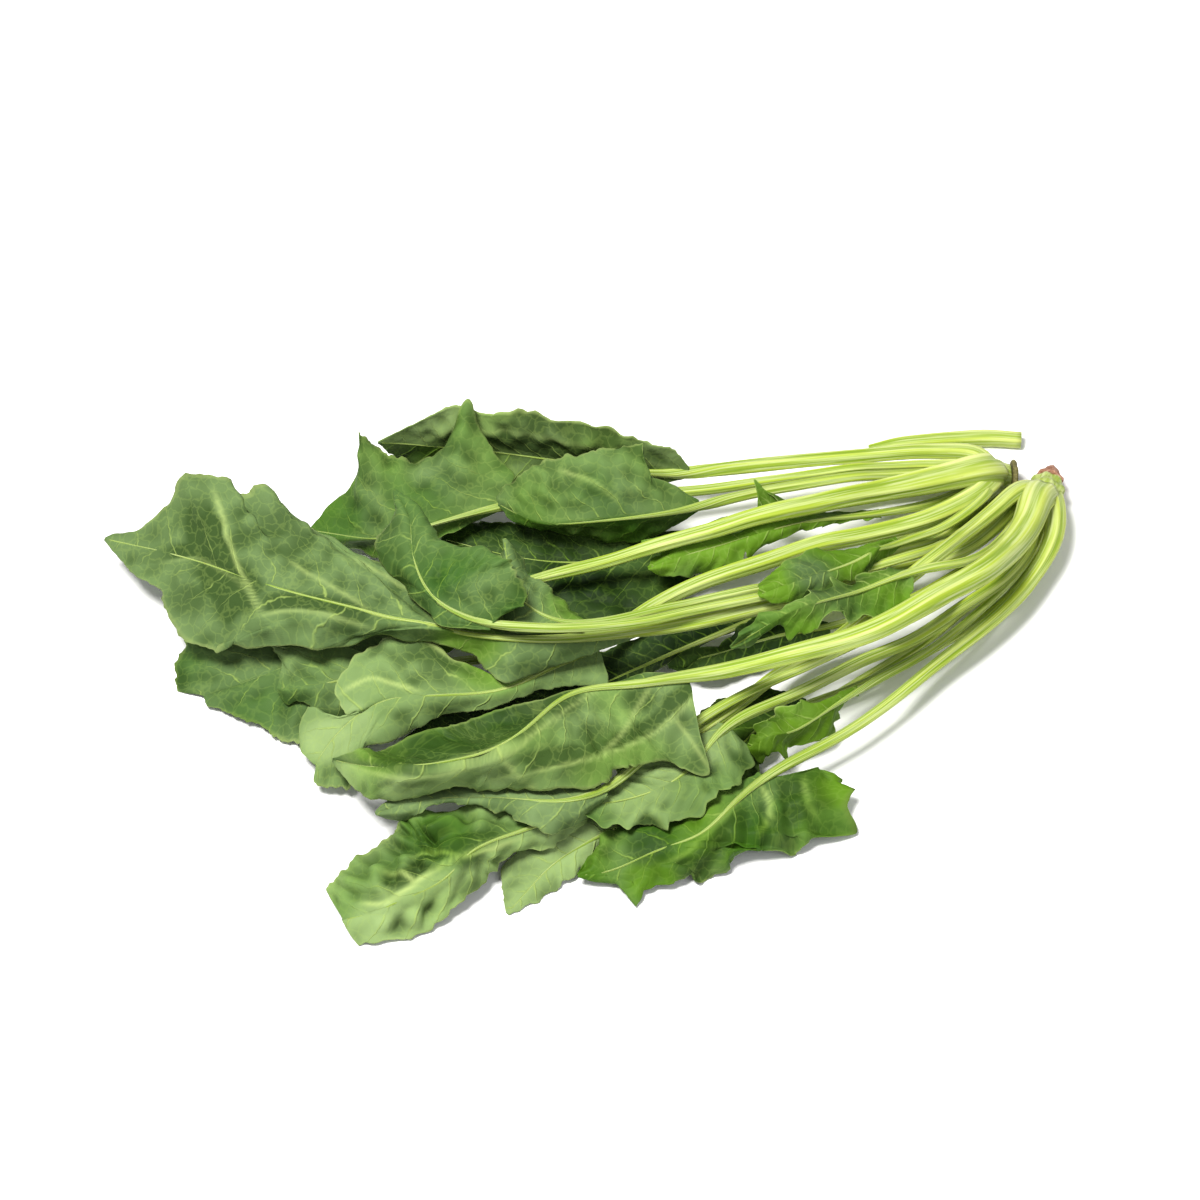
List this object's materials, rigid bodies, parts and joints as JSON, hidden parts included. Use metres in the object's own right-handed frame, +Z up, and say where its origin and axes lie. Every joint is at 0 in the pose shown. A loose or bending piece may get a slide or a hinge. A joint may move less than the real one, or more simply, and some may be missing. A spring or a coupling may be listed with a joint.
{
  "type": "spinach bunch",
  "caption": "Fresh spinach bunch lying down: leafy plants with pale ribbed stalks running to their root ends and lobed, wavy sage-green leaves fanned out.",
  "frame": {"origin": "the small flat on which the first plant's crown rests, on the table", "axes": "+Z up from the table; +X from the leaf tips towards the root ends; -Y towards the side where the second plant's leaves fan out"},
  "size_m": [0.3136, 0.2063, 0.0488],
  "materials": {
    "stalk": "smooth, ribbed, yellow-green, slightly waxy",
    "crown": "smooth pale green",
    "leaf_sage": "matt, veined, grey-green underside of a leaf",
    "leaf_dark": "matt, veined, deep green",
    "leaf_pale": "matt, veined, pale green underside of a leaf",
    "root_cut": "rough, dark olive cut face",
    "root_tip": "rough, pinkish-brown root stump"
  },
  "bodies": {
    "root": {"small_dark_stalk": "stalk", "small_dark_blade": "leaf_dark", "back_long_stalk": "stalk", "back_long_blade": "leaf_dark", "back_lobed_stalk": "stalk", "back_lobed_blade": "leaf_sage", "back_folded_stalk": "stalk", "back_folded_blade": "leaf_sage", "small_pointed_stalk": "stalk", "small_pointed_blade": "leaf_sage", "small_curly_stalk": "stalk", "small_curly_blade": "leaf_sage", "left_low_stalk": "stalk", "left_low_blade": "leaf_sage", "left_tucked_stalk": "stalk", "left_tucked_blade": "leaf_sage", "dark_under_stalk": "stalk", "dark_under_blade": "leaf_dark", "left_pale_stalk": "stalk", "left_pale_blade": "leaf_pale", "dark_small_stalk": "stalk", "dark_small_blade": "leaf_dark", "left_large_stalk": "stalk", "left_large_blade": "leaf_sage", "left_upright_stalk": "stalk", "left_upright_blade": "leaf_sage", "left_top_stalk": "stalk", "left_top_blade": "leaf_sage", "small_round_stalk": "stalk", "small_round_blade": "leaf_sage", "front_low_stalk": "stalk", "front_low_blade": "leaf_pale", "front_dark_stalk": "stalk", "front_dark_blade": "leaf_dark", "front_lobed_stalk": "stalk", "front_lobed_blade": "leaf_sage", "front_crinkled_stalk": "stalk", "front_crinkled_blade": "leaf_pale", "small_toothed_stalk": "stalk", "small_toothed_blade": "leaf_dark", "torn_pale_stalk": "stalk", "torn_pale_blade": "leaf_pale", "grey_smooth_stalk": "stalk", "grey_smooth_blade": "leaf_sage", "small_dull_stalk": "stalk", "small_dull_blade": "leaf_sage", "front_large_stalk": "stalk", "front_large_blade": "leaf_sage", "plant_1_crown": "crown", "plant_2_crown": "crown", "plant_1_root": "root_cut", "plant_2_root": "root_tip", "loose_stalk": "stalk"}
  },
  "joints": []
}
